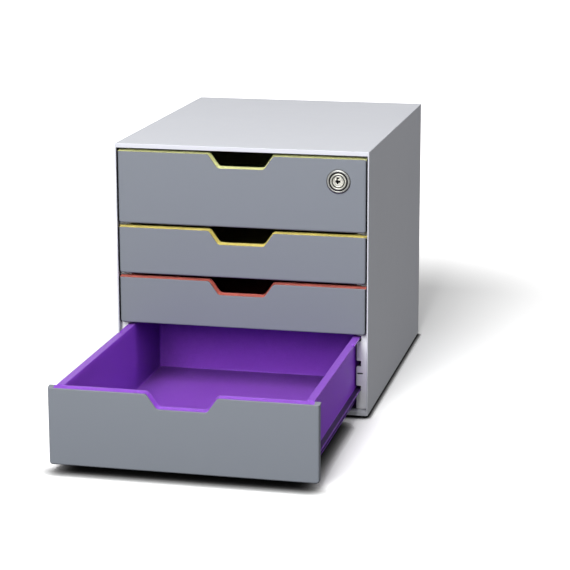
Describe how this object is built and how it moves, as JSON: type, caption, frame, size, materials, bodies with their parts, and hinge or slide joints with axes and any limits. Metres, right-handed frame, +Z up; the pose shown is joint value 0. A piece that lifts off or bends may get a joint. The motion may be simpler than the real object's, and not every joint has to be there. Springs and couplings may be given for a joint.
{
  "type": "desktop drawer box",
  "caption": "Desktop file drawer box: grey housing, pull-out trays with notched grey fronts and coloured rims, a cam lock on the top tray, rubber feet.",
  "frame": {"origin": "on the desk under the middle of the housing's footprint, at the mount desk_rest; the open drawer is not counted", "axes": "+Z up, the drawers open towards -Y, +X to the right seen from the front"},
  "size_m": [0.28, 0.597, 0.292],
  "materials": {
    "housing_grey": "fine spark-eroded texture",
    "front_grey": "fine spark-eroded texture",
    "tray_lime": "smooth moulded",
    "tray_yellow": "smooth moulded",
    "tray_red": "smooth moulded",
    "tray_purple": "smooth moulded",
    "foot_rubber": "matt",
    "lock_nickel": "nickel plated, satin",
    "zinc_steel": "zinc plated"
  },
  "bodies": {
    "housing": {"housing_hood": "housing_grey", "housing_base": "housing_grey", "housing_back": "housing_grey", "left_runner_wall": "housing_grey", "right_runner_wall": "housing_grey", "foot_front_left": "foot_rubber", "foot_front_right": "foot_rubber", "foot_rear_left": "foot_rubber", "foot_rear_right": "foot_rubber", "lock_strike": "zinc_steel", "strike_screws": "zinc_steel"},
    "drawer_1": {"drawer_1_tray": "tray_lime", "drawer_1_front": "front_grey", "lock_bezel": "lock_nickel", "lock_barrel": "lock_nickel", "lock_nut": "zinc_steel"},
    "drawer_2": {"drawer_2_tray": "tray_yellow", "drawer_2_front": "front_grey"},
    "drawer_3": {"drawer_3_tray": "tray_red", "drawer_3_front": "front_grey"},
    "drawer_4": {"drawer_4_tray": "tray_purple", "drawer_4_front": "front_grey"},
    "lock_core": {"lock_plug": "lock_nickel", "lock_cam": "zinc_steel", "cam_screw": "zinc_steel"}
  },
  "joints": [
    {"name": "drawer_1_slide", "type": "slide", "parent": "housing", "child": "drawer_1", "axis": [0, -1, 0], "range_m": [0, 0.25]},
    {"name": "drawer_2_slide", "type": "slide", "parent": "housing", "child": "drawer_2", "axis": [0, -1, 0], "range_m": [0, 0.25]},
    {"name": "drawer_3_slide", "type": "slide", "parent": "housing", "child": "drawer_3", "axis": [0, -1, 0], "range_m": [0, 0.25]},
    {"name": "drawer_4_slide", "type": "slide", "parent": "housing", "child": "drawer_4", "axis": [0, -1, 0], "range_m": [-0.241, 0.009]},
    {"name": "lock_turn", "type": "hinge", "parent": "drawer_1", "child": "lock_core", "pos_m": [0.1073, -0.178, 0.2592], "axis": [0, 1, 0], "range_deg": [0, 90]}
  ]
}
